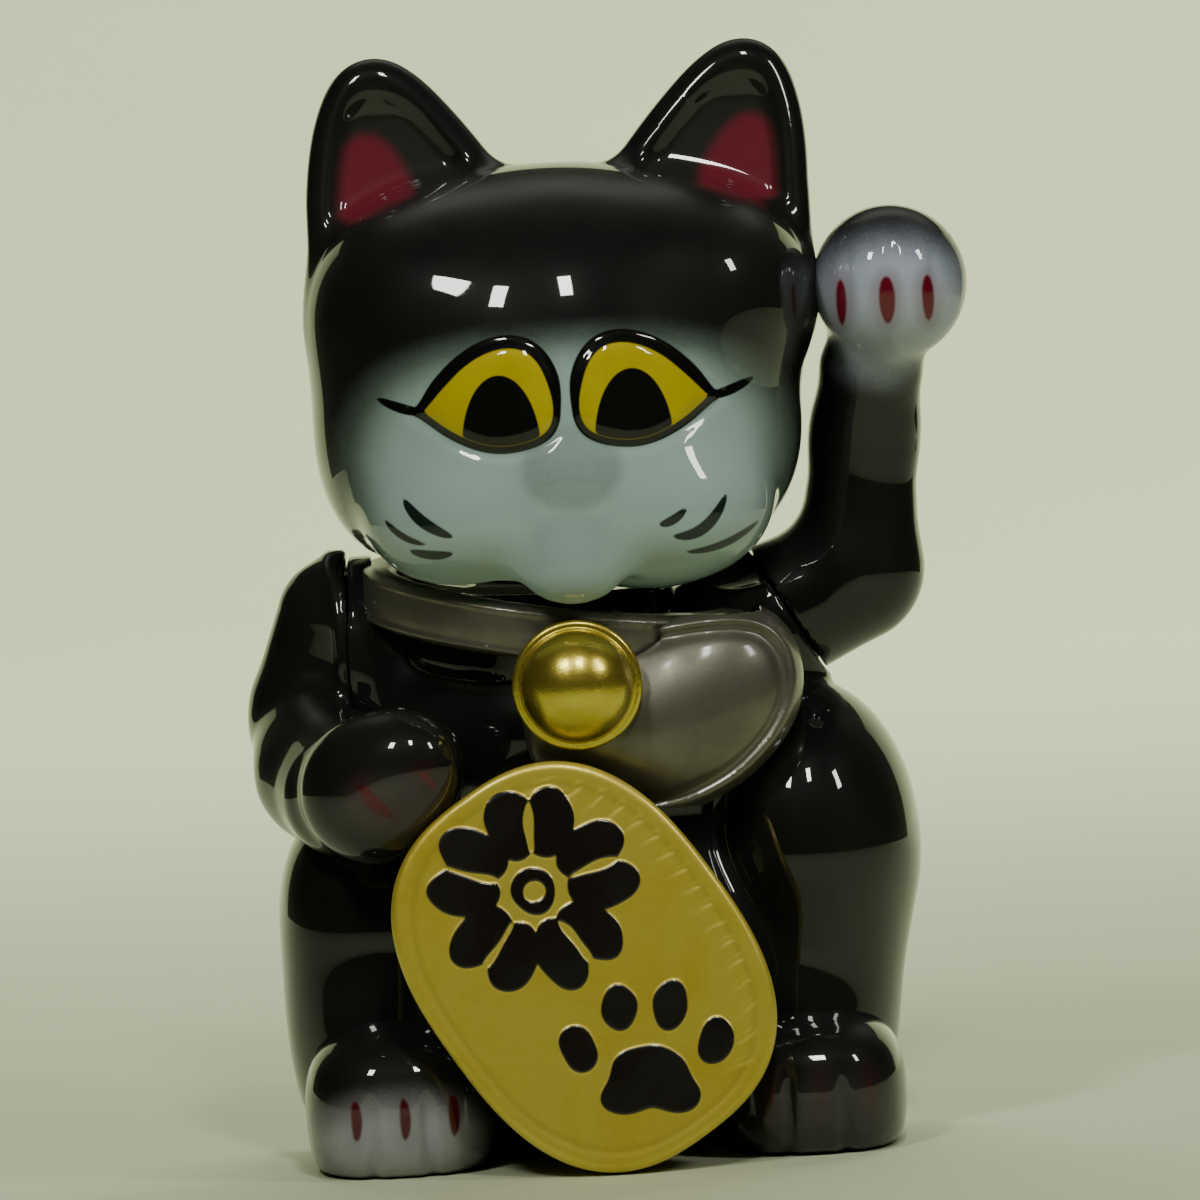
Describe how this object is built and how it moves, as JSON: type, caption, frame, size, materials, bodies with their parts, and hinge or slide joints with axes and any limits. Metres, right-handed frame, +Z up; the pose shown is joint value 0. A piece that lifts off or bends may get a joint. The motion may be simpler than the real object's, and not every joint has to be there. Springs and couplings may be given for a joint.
{
  "type": "beckoning cat figurine",
  "caption": "Sitting hollow vinyl cat with a raised paw, turning head and arms, collar with a bell, and an oval gold plate between its feet.",
  "frame": {"origin": "middle of the flat base, on the surface that the cat stands on", "axes": "+Z up, -Y the way the cat faces, +X the cat's own left, which is the viewer's right"},
  "size_m": [0.0966, 0.0721, 0.1429],
  "materials": {
    "black_vinyl": "high gloss",
    "gunmetal_vinyl": "gloss",
    "gold_vinyl": "metallic gold paint, gloss"
  },
  "bodies": {
    "body": {"body_shell": "black_vinyl", "left_foot": "black_vinyl", "right_foot": "black_vinyl", "collar": "gunmetal_vinyl", "bib": "gunmetal_vinyl", "bell": "gold_vinyl", "gold_plate": "gold_vinyl", "tail": "black_vinyl"},
    "head": {"head_shell": "black_vinyl"},
    "left_arm": {"raised_arm": "black_vinyl"},
    "right_arm": {"lowered_arm": "black_vinyl"}
  },
  "joints": [
    {"name": "neck_turn", "type": "hinge", "parent": "body", "child": "head", "pos_m": [-0.0012, 0, 0.075], "axis": [0, 0, 1], "range_deg": [-35, 35]},
    {"name": "raised_arm_turn", "type": "hinge", "parent": "body", "child": "left_arm", "pos_m": [0.027, 0.004, 0.068], "axis": [0.866, 0, 0.5], "range_deg": [-12, 90]},
    {"name": "lowered_arm_turn", "type": "hinge", "parent": "body", "child": "right_arm", "pos_m": [-0.0295, 0.004, 0.065], "axis": [-1, 0, 0], "range_deg": [0, 30]}
  ]
}
